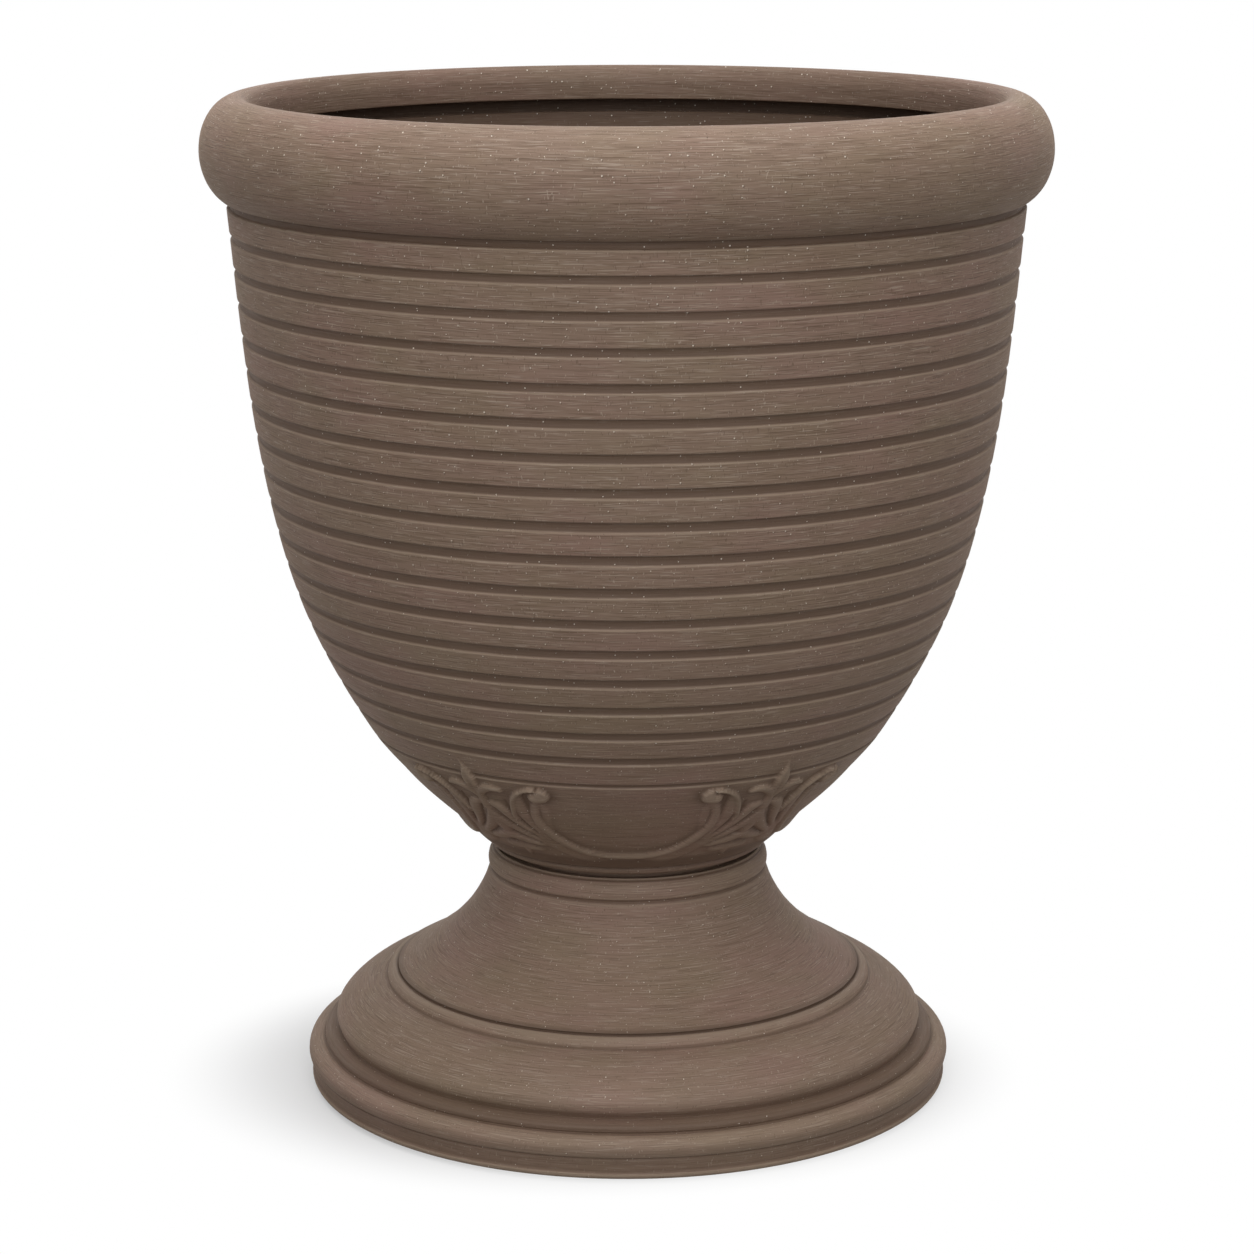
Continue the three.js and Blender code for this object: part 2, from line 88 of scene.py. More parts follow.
# The bead that closes the bowl's foot, the skirt that hangs inside the mouth, and the wall's edge inside the
# roll. A third number rounds that corner off.
FOOT_BEAD = [
    (58, 120.9), (64.4, 120.9, 0.4), (66.6, 121.6, 0.7), (69.2, 123.0, 1.3), (69.5, 124.9, 0.9),
    (68.4, 126.2, 0.4), (72, 128.5),
]
INNER_SKIRT = [
    (182.6, 489.4), (180.2, 487.7, 1.5), (178.4, 482.6, 2), (178.4, 472.2, 0.8), (182.9, 472.2, 0.8),
    (182.9, 483.9), (184.8, 484.9),
]
WALL_EDGE = [(191.1, 447.0), (191.1, 465.2, 0.8), (186.3, 465.2, 0.8), (186.2, 450)]
# The bell and the flare of the foot: share of the way in, share of the way up.
BELL = [(0, 0), (0.0226, 0.14), (0.107, 0.308), (0.243, 0.49), (0.424, 0.678), (0.638, 0.846), (1, 1)]
FLARE = [
    (0, 0), (0.125, 0.060), (0.253, 0.136), (0.370, 0.216), (0.482, 0.296), (0.582, 0.379),
    (0.748, 0.550), (0.865, 0.713), (0.953, 0.876), (1, 1),
]


# ------------------------------------------------------------------ lines that the pieces are turned from


def smooth_line(points, step):
    """A centripetal Catmull-Rom curve through the points, with a point about every step mm."""
    p = np.array(points, float)
    p = np.vstack([2 * p[0] - p[1], p, 2 * p[-1] - p[-2]])
    line = []
    for a, b, c, d in zip(p[:-3], p[1:-2], p[2:-1], p[3:]):
        ta = np.linalg.norm(b - a) ** 0.5
        tb = ta + np.linalg.norm(c - b) ** 0.5
        tc = tb + np.linalg.norm(d - c) ** 0.5
        count = max(1, round(np.linalg.norm((c - b)[:2]) / step))
        for t in np.linspace(ta, tb, count, endpoint=False):
            ab = ((ta - t) * a + t * b) / ta
            bc = ((tb - t) * b + (t - ta) * c) / (tb - ta)
            cd = ((tc - t) * c + (t - tb) * d) / (tc - tb)
            abc = ((tb - t) * ab + t * bc) / tb
            bcd = ((tc - t) * bc + (t - ta) * cd) / (tc - ta)
            line.append(((tb - t) * abc + (t - ta) * bcd) / (tb - ta))
    line.append(p[-2])
    return np.array(line)


def arc(centre, half, start, end, count):
    """Part of an ellipse, from one angle to another in degrees."""
    turn = np.radians(np.linspace(start, end, count))
    return np.column_stack([centre[0] + half[0] * np.cos(turn), centre[1] + half[1] * np.sin(turn)])


def eased(corners, steps=3):
    """A line through (radius, height, ease) corners, each rounded off over ease mm, or sharp without one."""
    line = []
    for before, here, after in zip([corners[-1]] + corners[:-1], corners, corners[1:] + [corners[0]]):
        at = np.array(here[:2], float)
        if len(here) < 3:
            line.append(at)
            continue
        back, on = np.array(before[:2]) - at, np.array(after[:2]) - at
        reach = min(here[2], 0.45 * np.linalg.norm(back), 0.45 * np.linalg.norm(on))
        a = at + back / np.linalg.norm(back) * reach
        b = at + on / np.linalg.norm(on) * reach
        for t in np.linspace(0, 1, steps + 1):
            line.append((1 - t) ** 2 * a + 2 * t * (1 - t) * at + t * t * b)
    return np.array(line)


def run_along(line):
    """Distance along a line at each of its points."""
    return np.concatenate([[0], np.cumsum(np.linalg.norm(np.diff(line, axis=0), axis=1))])


def at_run(line, run, places):
    """The points of a line at the given distances along it."""
    return np.column_stack([np.interp(places, run, line[:, 0]), np.interp(places, run, line[:, 1])])


def outward(line):
    """The way out of the wall at each point of a line that goes up."""
    way = np.gradient(line, axis=0)
    way /= np.linalg.norm(way, axis=1)[:, None]
    return np.column_stack([way[:, 1], -way[:, 0]])


# ------------------------------------------------------------------ meshes

SHARP_FROM = 70  # degrees between two faces from which their edge is shaded sharp


def piece(name, points, faces, marks):
    """A smooth-shaded mesh from points in mm, with marks such as run or recess kept on its points."""
    mesh = bpy.data.meshes.new(name)
    mesh.from_pydata((np.asarray(points) * MM).tolist(), [], faces)
    mesh.validate()
    mesh.shade_smooth()
    mesh.set_sharp_from_angle(angle=math.radians(SHARP_FROM))
    for mark, values in marks.items():
        kept = mesh.attributes.new(mark, "FLOAT", "POINT")
        kept.data.foreach_set("value", np.asarray(values, np.float32))
    made = bpy.data.objects.new(name, mesh)
    bpy.context.scene.collection.objects.link(made)
    return made


def ring_faces(first, second, ways_first, ways_second):
    """Faces between two rings of points; rings of different counts are joined with triangles."""
    m, n = len(first), len(second)
    if m == n:
        return [(first[i], first[(i + 1) % m], second[(i + 1) % n], second[i]) for i in range(m)]
    faces, i, j = [], 0, 0
    while i < m or j < n:
        next_first = ways_first[i + 1] if i + 1 < m else 360 if i < m else 1e9
        next_second = ways_second[j + 1] if j + 1 < n else 360 if j < n else 1e9
        if next_first <= next_second:
            faces.append((first[i], first[(i + 1) % m], second[j % n]))
            i += 1
        else:
            faces.append((second[(j + 1) % n], second[j], first[i % m]))
            j += 1
    return faces


class Turned:
    """Collects rings from the outside bottom round to where it closes, and makes one closed mesh."""

    def __init__(self):
        self.points, self.faces, self.marks = [], [], {"run": [], "recess": [], "edge": []}
        self.rings, self.run, self.last = [], 0.0, None

    # recess says how much painted shade a ring's points get, and edge how much painted highlight and wear.
    def ring(self, ways, radii, heights, recess=0.0, edge=0.0, run=None):
        """A ring of points at the ways round, in degrees. Each value is one number or one for each way."""
        ways = np.asarray(ways, float)
        radii = np.broadcast_to(radii, ways.shape)
        heights = np.broadcast_to(heights, ways.shape)
        middle = np.array([radii.mean(), heights.mean()])
        if run is None:
            self.run += 0 if self.last is None else np.linalg.norm(middle - self.last)
        else:
            self.run = run
        self.last = middle
        start = len(self.points)
        turn = np.radians(ways)
        self.points += np.column_stack([radii * np.sin(turn), -radii * np.cos(turn), heights]).tolist()
        self.marks["run"] += [self.run] * len(ways)
        self.marks["recess"] += np.broadcast_to(recess, ways.shape).tolist()
        self.marks["edge"] += np.broadcast_to(edge, ways.shape).tolist()
        now = (list(range(start, start + len(ways))), ways)
        if self.rings:
            self.faces += ring_faces(self.rings[-1][0], now[0], self.rings[-1][1], now[1])
        self.rings.append(now)

    def follow(self, ways, line, recess=0.0):
        """A ring at each radius and height of a line."""
        for radius, height in line:
            self.ring(ways, radius, height, recess)

    def join_ends(self):
        """Joins the last ring to the first."""
        first, last = self.rings[0], self.rings[-1]
        self.faces += ring_faces(last[0], first[0], last[1], first[1])

    def close_ends(self):
        """Closes the first and the last ring with a flat."""
        self.faces.append(tuple(self.rings[0][0][::-1]))
        self.faces.append(tuple(self.rings[-1][0]))

    def move(self, x, y):
        self.points = (np.asarray(self.points) + [x, y, 0]).tolist()

    def made(self, name):
        return piece(name, self.points, self.faces, self.marks)


def even_ways(count):
    """Evenly spaced ways round, in degrees."""
    return np.arange(count) * 360 / count


def round_hole(radius, x, y, count):
    """The points round a hole."""
    turn = np.arange(count) * 2 * math.pi / count
    return np.column_stack([x + radius * np.cos(turn), y + radius * np.sin(turn)])


def flat_between(body, edge, height, holes, up):
    """Fills the flat inside a ring, round its holes. Returns the ring of points at each hole."""
    outline = [body.points[i][:2] for i in edge]
    places, ids, hole_rings = list(outline), list(edge), []
    sides = [(i, (i + 1) % len(edge)) for i in range(len(edge))]
    for hole in holes:
        start, kept = len(places), len(body.points)
        places += hole.tolist()
        body.points += [(x, y, height) for x, y in hole]
        for mark, value in (("run", body.run), ("recess", 0.0), ("edge", 0.0)):
            body.marks[mark] += [value] * len(hole)
        hole_rings.append(list(range(kept, kept + len(hole))))
        ids += hole_rings[-1]
        sides += [(start + i, start + (i + 1) % len(hole)) for i in range(len(hole))]
    _, _, triangles, from_place, _, _ = delaunay_2d_cdt([Vector(p) for p in places], sides, [], 1, 1e-6)
    spots = [np.mean(hole, axis=0) for hole in holes]
    reach = [np.linalg.norm(hole[0] - spot) for hole, spot in zip(holes, spots)]
    for triangle in triangles:
        corners = [from_place[i][0] for i in triangle]
        middle = np.mean([places[i] for i in corners], axis=0)
        if any(np.linalg.norm(middle - spot) < far * 0.999 for spot, far in zip(spots, reach)):
            continue
        face = [ids[i] for i in corners]
        body.faces.append(tuple(face if up else face[::-1]))
    return hole_rings


def floor_with_holes(body, low, high, holes):
    """Closes a body's first and last ring with the two faces of a floor, and the walls of its holes."""
    below = flat_between(body, body.rings[0][0], low, holes, up=False)
    above = flat_between(body, body.rings[-1][0], high, holes, up=True)
    for low_ring, high_ring in zip(below, above):
        for i in range(len(low_ring)):
            k = (i + 1) % len(low_ring)
            body.faces.append((low_ring[k], low_ring[i], high_ring[i], high_ring[k]))


def bolt_holes():
    return [round_hole(BOLT_HOLE, x, y, 24) for x, y in BOLT_PLACES]


# ------------------------------------------------------------------ frieze

# Five swags hang between scrolls and leaves.
FRIEZE_REPEATS = 5
FRIEZE_TOP = 88.0  # up the wall
FRIEZE_TURN = -0.6  # how far round the first swag's middle lies from the front
SWAG_MIDDLE = 12  # how far round from a swag's middle the grid is coarser
BARE_RELIEF = 0.6  # relief under which the wall between the forms counts as bare
DEEPEST_CUT = -0.4  # lowest that a cut reaches

# Distance up the wall, and how far the ground of the frieze is sunk there.
FRIEZE_SINK = ([0, 5, 11, 15, 62, 79], [-1.2, -2.0, -0.2, 1, 1, 0])
# Distance up the wall, and how dark the hollow over the neck is there.
NECK_SHADE = ([0, 3, 11.5, 14.5], [0.5, 1, 1, 0])

# Each form runs through places given as degrees round from the middle of a swag, distance up the wall,
# half width and relief, all in mm. One half of a repeat is listed, because the other half mirrors it.
SWAG = [
    (-3, 17.1, 2.6, 2.1), (0, 17.1, 2.6, 2.1), (4, 17.3, 2.6, 2.1), (8, 18.2, 2.7, 2.1),
    (12, 20.5, 2.8, 2.1), (14, 22.6, 2.8, 2.1), (16, 25.5, 2.8, 2.1), (17.6, 28.4, 2.8, 2.1),
    (19.2, 32.2, 2.8, 2.1), (20.6, 36.6, 2.8, 2.1), (21.8, 41.6, 2.7, 2.0), (22.6, 47, 2.6, 1.9),
    (22.8, 52, 2.6, 1.7), (22.6, 57, 2.4, 1.4), (21.8, 62, 2.2, 1.2), (20.8, 66, 1.8, 1.0),
]
SWAG_SHOULDER = [
    (9, 12.5, 3.5, 0.4), (13, 15.5, 5.5, 0.9), (18, 21, 7.0, 1.2), (21.5, 27, 6.5, 1.3),
    (24.5, 34, 5.5, 1.3),
]
INNER_LIP = [
    (20.0, 65, 1.8, 0.5), (19.6, 60, 2.4, 0.5), (19.9, 54, 2.4, 0.5), (20.5, 47, 2.0, 0.4),
    (20.3, 42, 1.2, 0.3),
]
STRAP = [
    (23.6, 72, 2.4, 1.5), (25.0, 69, 3.2, 1.4), (25.9, 64, 3.8, 1.3), (26.1, 58, 4.0, 1.3),
    (25.8, 52, 3.6, 1.3), (25.0, 46, 3.0, 1.4), (24.0, 40.5, 2.4, 1.5), (22.6, 35, 2.0, 1.5),
]
SCROLL_EYE = [(19.2, 74.2, 2.6, 3.0), (18.7, 71.6, 3.7, 3.1), (20.4, 71.0, 4.0, 3.2)]
STRAP_RIM = [
    (28.2, 49.4, 0.8, 1.9), (28.6, 53, 1.2, 2.2), (28.1, 58, 1.4, 2.4), (27.1, 64.5, 1.5, 2.5),
    (26.2, 68.4, 1.5, 2.6), (25.0, 71.8, 1.5, 2.7), (23.6, 74.4, 1.5, 2.8), (22.0, 76.2, 1.5, 2.8),
    (20.4, 77.0, 1.5, 2.8), (19.0, 76.6, 1.5, 2.8), (18.0, 75.2, 1.4, 2.8), (17.5, 73.6, 1.3, 2.6),
]
LEAF = [
    (33.6, 60.0, 2.4, 1.6), (32.2, 58.2, 3.2, 1.8), (31.0, 54.0, 3.4, 1.8), (29.8, 48.6, 3.0, 1.7),
    (28.2, 42.6, 2.4, 1.6), (26.2, 37.2, 1.9, 1.5), (24.0, 33.0, 1.2, 1.3),
]
LOWER_LEAF = [
    (36, 56, 3.4, 1.3), (35.2, 50, 4.0, 1.5), (33.6, 44.6, 4.0, 1.6), (31.3, 39.4, 3.6, 1.6),
    (28.8, 34.8, 3.0, 1.6), (26, 30.8, 2.4, 1.6), (23.4, 27.4, 1.6, 1.4),
]
POINTED_LEAF = [
    (36.6, 64, 1.6, 1.4), (36.3, 69, 2.9, 1.9), (36, 76, 4.2, 2.1), (36, 82, 2.9, 2.0),
    (36, 86.6, 0.9, 1.4),
]
SIDE_LEAF = [
    (36, 66, 2.4, 1.6), (35, 69.5, 2.8, 1.9), (33.4, 72.4, 3.0, 2.2), (31.6, 74.0, 2.7, 2.2),
    (30.0, 73.6, 2.1, 2.0), (28.9, 72.4, 1.2, 1.6),
]
STEM = [(36, 66, 2.4, 1.3), (36, 56, 3.4, 1.4), (36, 46, 4.2, 1.5), (36, 38, 4.4, 1.5)]
LOW_LEAF = [
    (36, 31.4, 4.2, 2.0), (34, 30.2, 4.0, 2.0), (31.6, 28.2, 3.4, 2.0), (29.2, 26.8, 2.8, 1.9),
    (26.8, 25.8, 2.1, 1.8), (24.6, 25.2, 1.3, 1.5),
]
LOW_LOBE = [(36, 18.6, 3.6, 1.4), (33, 18.2, 3.2, 1.5), (30.4, 17.8, 2.4, 1.4), (28.6, 17.4, 1.2, 1.1)]
LOW_TIP = [(36, 17, 3.0, 1.2), (36, 12.5, 1.4, 0.8)]
FORMS = [
    SWAG, SWAG_SHOULDER, INNER_LIP, STRAP, SCROLL_EYE, STRAP_RIM, LEAF, LOWER_LEAF, POINTED_LEAF, SIDE_LEAF,
    STEM, LOW_LEAF, LOW_LOBE, LOW_TIP,
]

# Cuts run the same way and take their relief off.
SCROLL_INSIDE = [
    (23.0, 73.0, 0.9, 1.8), (23.3, 71.0, 1.5, 2.8), (23.5, 68.0, 1.6, 2.6), (23.6, 64.5, 1.2, 1.5),
    (23.8, 60.5, 0.8, 0.5),
]
LEAF_NOTCH = [(29.3, 64, 0.9, 1.3), (29.5, 59, 0.8, 1.3), (29.2, 54, 0.6, 0.8)]
LOWER_LEAF_VEIN = [
    (35.0, 55.0, 0.7, 0.5), (33.9, 51, 0.8, 0.8), (32.2, 46.4, 0.9, 0.9), (29.0, 39, 0.9, 0.9),
    (26, 33.8, 0.8, 0.6),
]
LOW_LEAF_NOTCH = [(34, 23.4, 1.2, 0.9), (30, 22.2, 1.1, 0.9), (26, 21.8, 0.8, 0.5)]
POINTED_LEAF_VEIN = [(36, 84, 0.6, 0.5), (36, 76, 0.9, 0.8), (36, 67, 0.6, 0.4)]
CUTS = [SCROLL_INSIDE, LEAF_NOTCH, LOWER_LEAF_VEIN, LOW_LEAF_NOTCH, POINTED_LEAF_VEIN]


def height_of_form(form, ways, heights, wall_radius):
    """How high a form stands at each point, from its nearest place along the form."""
    relief = np.zeros(ways.shape)
    for way, height, half, stand in smooth_line(form, 1.0):
        across = np.radians(ways - way) * wall_radius
        off = ((across ** 2 + (heights - height) ** 2) / half ** 2).clip(0, 1)
        relief = np.maximum(relief, stand * (1 - off) ** 0.5)
    return relief


def frieze_relief(ways, heights, wall_radius):
    """Height of the carving in mm over a grid of ways round (columns) and heights up the wall (rows)."""
    repeat = 360 / FRIEZE_REPEATS
    half = np.abs((ways + repeat / 2) % repeat - repeat / 2)
    half, up = np.meshgrid(half, heights)
    radius = np.broadcast_to(wall_radius[:, None], half.shape)
    relief = np.zeros(half.shape)
    for form in FORMS:
        relief = np.maximum(relief, height_of_form(form, half, up, radius))
    for cut in CUTS:
        relief = relief - height_of_form(cut, half, up, radius)
    return relief.clip(DEEPEST_CUT, None)


def blurred(field, rows, columns):
    """The field averaged over a few rows and columns, going round."""
    out = field
    for _ in range(2):
        out = sum(np.roll(out, k, axis=1) for k in range(-columns, columns + 1)) / (2 * columns + 1)
        padded = np.pad(out, ((rows, rows), (0, 0)), mode="edge")
        out = sum(padded[k : k + len(out)] for k in range(2 * rows + 1)) / (2 * rows + 1)
    return out


# ------------------------------------------------------------------ bowl


def groove_middle(number, length):
    """How far up the wall a groove lies, counted down from the rim."""
    drop = GROOVE_DROP * math.sin(math.pi * number / (LAST_GROOVE - 1))
    return length - number * BAND_PITCH - (LAST_GROOVE_DROP if number == LAST_GROOVE else drop)


def groove_half_width(number):
    """The grooves between the first and the last one widen a little from the rim down."""
    if number == 0:
        return RIM_GROOVE_HALF
    return LAST_GROOVE_HALF if number == LAST_GROOVE else min(2.0 + 0.05 * (number - 1), 2.4)


def groove_rows(number, length):
    """The rings that cut one groove, from its lower lip up: place up the wall, depth, painted highlight on
    the lip, and painted shade.
    """
    middle, half = groove_middle(number, length), groove_half_width(number)
    deep = {0: RIM_GROOVE_DEPTH, LAST_GROOVE: LAST_GROOVE_DEPTH}.get(number, GROOVE_DEPTH)
    rows = [
        (-half - 1.0, 0, 0, 0), (-half - 0.25, 0, 1, 0), (-half + 0.05, 0.3, 0.6, 0.3),
        (-half + 0.4, 1, 0, 1), (0, 1, 0, 0.9),
    ]
    if number > 0:
        rows += [
            (half - 0.3, 1, 0, 0.55), (half - 0.05, 0.5, 0, 0.4), (half + 0.15, 0.03, 0.2, 0),
            (half + 0.8, 0, 0, 0),
        ]
    return [(middle + at, deep * share, lip, dark) for at, share, lip, dark in rows]


def bowl_wall():
    """The outside of the bowl's wall from the cove up to the rim, and the distance along it."""
    spread, rise = WALL_TOP[0] - COVE[0], WALL_TOP[1] - COVE[1]
    wall = smooth_line([(COVE[0] + out * spread, COVE[1] + up * rise) for up, out in BOWL_WALL], 1.0)
    return wall, run_along(wall)


def add_foot_bead(bowl, ways):
    """The bead at the bowl's foot, with painted shade down in the seam and up in the cove."""
    for radius, height in eased(FOOT_BEAD)[:-1]:
        recess = np.interp(height, [121.6, 122.4, 124.6, 126], [1, 0.45, 0.45, 0.85])
        bowl.ring(ways, radius, height, recess)


def frieze_ways():
    """Ways round for the frieze's grid."""
    repeat = 360 / FRIEZE_REPEATS
    bare = np.linspace(-SWAG_MIDDLE, SWAG_MIDDLE, 22, endpoint=False)
    carved = np.linspace(SWAG_MIDDLE, repeat - SWAG_MIDDLE, 110, endpoint=False)
    sector = np.concatenate([bare, carved])
    return np.sort(np.concatenate([(sector + k * repeat) % 360 for k in range(FRIEZE_REPEATS)]))


def add_frieze(bowl, wall, run):
    """A fine grid over the lowest part of the wall, pushed out by the carving and cut by the last groove."""
    ways = frieze_ways()
    groove = np.array(groove_rows(LAST_GROOVE, run[-1]))
    up = np.sort(np.concatenate([np.arange(1.0, 28, 1.5), np.arange(28, FRIEZE_TOP, 1.0), groove[:, 0]]))
    ground = at_run(wall, run, up)
    out = outward(ground)
    ground = ground - out * np.interp(up, *FRIEZE_SINK)[:, None]
    relief = frieze_relief(ways - FRIEZE_TURN, up, ground[:, 0])
    bare = relief < BARE_RELIEF
    depths, lips, darks = (np.interp(up, groove[:, 0], groove[:, k])[:, None] * bare for k in (1, 2, 3))

    # Relief lower than the mean around it gets painted shade, as do the last groove and the hollow over the
    # neck; relief higher than it, and the groove's lip, get painted highlight and wear.
    soft = blurred(relief, 3, 5)
    hollow = np.maximum(((soft - relief) / 0.9).clip(0, 1), darks)
    hollow = np.maximum(hollow, np.interp(up, *NECK_SHADE)[:, None])
    ridge = np.maximum(((relief - soft) / 1.2).clip(0, 1), lips)
    for i, distance in enumerate(up):
        at = ground[i] + (relief - depths)[i][:, None] * out[i]
        bowl.ring(ways, at[:, 0], at[:, 1], hollow[i], ridge[i], distance)


def add_bands(bowl, ways, wall, run):
    """The bands above the frieze, with a ring in the middle of each and nine rings to a groove."""
    rows = []
    for number in reversed(range(LAST_GROOVE)):
        if number < LAST_GROOVE - 1:
            rows.append((groove_middle(number, run[-1]) - BAND_PITCH / 2, 0, 0, 0))
        rows += groove_rows(number, run[-1])
    places, depths, lips, darks = np.array(rows).T
    line = at_run(wall, run, places) - depths[:, None] * at_run(outward(wall), run, places)
    # Each groove ring gets its painted shade and its lip's painted highlight.
    for (radius, height), lip, dark, distance in zip(line, lips, darks, places):
        bowl.ring(ways, radius, height, dark, lip, distance)


def add_rim(bowl, ways):
    """The rolled rim, out from the wall, over the top, down its inner skirt and back inside the roll."""
    # Painted shade in the groove under the roll, towards the crest of the roll's top, down the inner skirt
    # and inside the roll.
    bowl.ring(ways, 189.4, 441.3, recess=1)
    bowl.ring(ways, 191.6, 441.2, recess=0.5)
    bowl.follow(ways, arc(ROLL_CENTRE, ROLL_HALF, -65, 0, 14))
    for radius, height in arc(ROLL_CENTRE, ROLL_HALF, 0, 90, 15)[1:]:
        bowl.ring(ways, radius, height, recess=np.interp(radius, [184.8, 188], [0.3, 0]))
    bowl.follow(ways, eased(INNER_SKIRT)[:-1], recess=0.4)
    bowl.follow(ways, arc(ROLL_CENTRE, ROLL_INSIDE_HALF, 78, -60, 14), recess=0.7)


def add_inside(bowl, ways):
    """The edge of the wall inside the roll, and the wall's inside down to the floor."""
    # The wall's edge inside the roll and the inside of the mouth get painted shade.
    bowl.follow(ways, eased(WALL_EDGE)[1:-1], recess=0.9)
    bowl.follow(ways, smooth_line(INNER_WALL, 16)[:-1], recess=0.7)
    bowl.follow(ways, eased([INNER_WALL[-1], (63.5, 127.4, 4), (30, FLOOR_TOP)], 4)[:-1], recess=0.7)
    bowl.ring(ways, 56, FLOOR_TOP, recess=0.7)


def make_bowl():
    wall, run = bowl_wall()
    ways = even_ways(LARGE_RING)
    bowl = Turned()
    add_foot_bead(bowl, ways)
    add_frieze(bowl, wall, run)
    add_bands(bowl, ways, wall, run)
    add_rim(bowl, ways)
    add_inside(bowl, ways)
    floor_with_holes(bowl, FLOOR_UNDER, FLOOR_TOP, [round_hole(DRAIN_HOLE, 0, 0, 48)] + bolt_holes())
    return bowl.made("ringed_bowl")


bowl = make_bowl()


# ------------------------------------------------------------------ foot

# Where the foot gets painted shade in its creases and under its overhangs, and where it gets painted
# highlight and wear, as radius, height, reach and strength.
FOOT_SHADE = [
    (152.1, 0, 3, 0.6), (158.4, 5.7, 1.4, 0.7), (158.4, 9, 4.5, 0.4), (158.6, 12.4, 1.4, 0.7),
    (160.6, 15.4, 3.4, 0.4), (151.5, 22.1, 2.0, 0.8), (151.8, 24.8, 3.8, 0.9), (147.4, 25.8, 5.0, 0.7),
    (144.0, 27.0, 5.5, 0.5), (120.6, 52.0, 2.0, 0.4), (114.5, 57.0, 2.8, 1.0), (67.9, 108.0, 1.4, 0.5),
    (66.5, 118.1, 1.2, 1.0), (64.6, 118.8, 1.4, 1.0),
]
FOOT_HIGHLIGHT_AND_WEAR = [(117.6, 56.6, 2.8, 0.9), (154.8, 21.9, 3.0, 0.3)]


def between(points, start, end):
    """Points given as shares between two corners, as radius and height."""
    return [(start[0] + a * (end[0] - start[0]), start[1] + b * (end[1] - start[1])) for a, b in points]


def foot_line():
    """The foot's outline: under the top plate, down the inside, round the base and up to the plate's top."""
    bell = smooth_line(between(BELL, (146.3, 33.0), (121.5, 51.8)), 1.0)
    flare = smooth_line(between(FLARE, (115.2, 58.0), (69.3, 106.6)), 1.5)
    under_plate = [(58, PLATE_UNDER), (63.2, PLATE_UNDER, 1.5), (64.4, 108)]
    base = [
        (140, 34), (138.3, 33.0, 1), (138.3, 23.4, 2), (144.1, 13.9, 2), (144.1, 0, 0.8), (152.1, 0, 1.2),
        (157.6, 2.0, 0.8), (158.9, 3.0, 0.6), (159.1, 4.6, 0.6), (158.0, 5.5, 0.4), (158.3, 9, 2),
        (158.9, 11.8, 0.4), (158.5, 12.5, 0.3), (160.0, 13.2, 0.6), (160.5, 15.2),
    ]
    base_roll = [
        (160.5, 15.2), (160.3, 17.2), (159.2, 19.6), (157.2, 21.3), (154.8, 21.9), (152.6, 21.5),
    ]
    step = [
        (152.6, 21.5), (151.5, 22.0, 0.4), (152.2, 22.8, 0.4), (152.3, 24.6, 0.8), (150.9, 25.8, 1.0),
        (143.6, 26.0, 0.5), (144.0, 27.2, 0.6), (145.6, 29.6, 1.4), (146.3, 33),
    ]
    shoulder_bead = [
        (121.5, 51.8), (120.6, 52.0, 0.5), (120.6, 53.2, 0.8), (119.3, 55.9, 1.5), (116.4, 57.1, 1.2),
        (114.5, 56.2, 0.4), (114.4, 57.6, 0.5), (115.2, 58),
    ]
    collar = [
        (69.3, 106.6), (67.8, 107.6, 0.3), (67.8, 108.5, 0.3), (69.2, 109.5, 0.6), (69.6, 112.4, 1.5),
        (68.9, 115.8, 1.6), (67.3, 117.6, 0.6), (66.5, 118.1, 0.2), (66.8, 118.6, 0.3), (66.2, 119.3, 0.3),
        (65.4, 119.2, 0.3), (65.2, 118.2, 0.3), (60, 118.2, 0.3), (60, PLATE_TOP, 0.5), (57, PLATE_TOP),
    ]
    line = np.vstack([
        eased(under_plate)[:-1],
        (flare - FOOT_WALL * outward(flare))[::-2],
        (bell - FOOT_WALL * outward(bell))[::-2],
        eased(base)[1:-1],
        smooth_line(base_roll, 0.7),
        eased(step)[1:-1],
        bell,
        eased(shoulder_bead)[1:-1],
        flare,
        eased(collar)[1:],
    ])
    # Of points that all but coincide, only the first is kept.
    return line[np.concatenate([[True], np.linalg.norm(np.diff(line, axis=0), axis=1) > 0.02])]


def hollows_and_ridges(line):
    """How far each point of a line lies in a hollow, and how far on a ridge, both from 0 to 1."""
    reach, full = 1.6, 0.5  # how far along the line it looks, and the rise that counts as all
    run = run_along(line)
    around = sum(at_run(line, run, (run + k * reach / 2).clip(0, run[-1])) for k in (-2, -1, 1, 2)) / 4
    rise = ((around - line) * outward(line)).sum(axis=1)
    return (rise / full).clip(0, 1), (-rise / full).clip(0, 1)


def near_spots(line, spots):
    """How strongly the spots near each point of a line mark it."""
    mark = np.zeros(len(line))
    for radius, height, reach, strength in spots:
        away = np.hypot(line[:, 0] - radius, line[:, 1] - height)
        mark = np.maximum(mark, strength * (1.5 - 1.5 * away / reach).clip(0, 1))
    return mark


def make_foot():
    line = foot_line()
    hollow, proud = hollows_and_ridges(line)
    foot_shade = near_spots(line, FOOT_SHADE)
    highlight_and_wear = np.maximum(proud, near_spots(line, FOOT_HIGHLIGHT_AND_WEAR))
    foot = Turned()
    ways = even_ways(LARGE_RING)
    # Each ring gets painted shade from its hollow and the shade spots, and painted highlight and wear from
    # its ridge and the highlight spots, less where shade lies.
    for (radius, height), low, high, dim in zip(line, hollow, highlight_and_wear, foot_shade):
        foot.ring(ways, radius, height, max(low * 0.8, dim), high * (1 - dim))
    floor_with_holes(foot, PLATE_UNDER, PLATE_TOP, [round_hole(PLATE_HOLE, 0, 0, 48)] + bolt_holes())
    return foot.made("turned_foot")


foot = make_foot()


# ------------------------------------------------------------------ small hardware


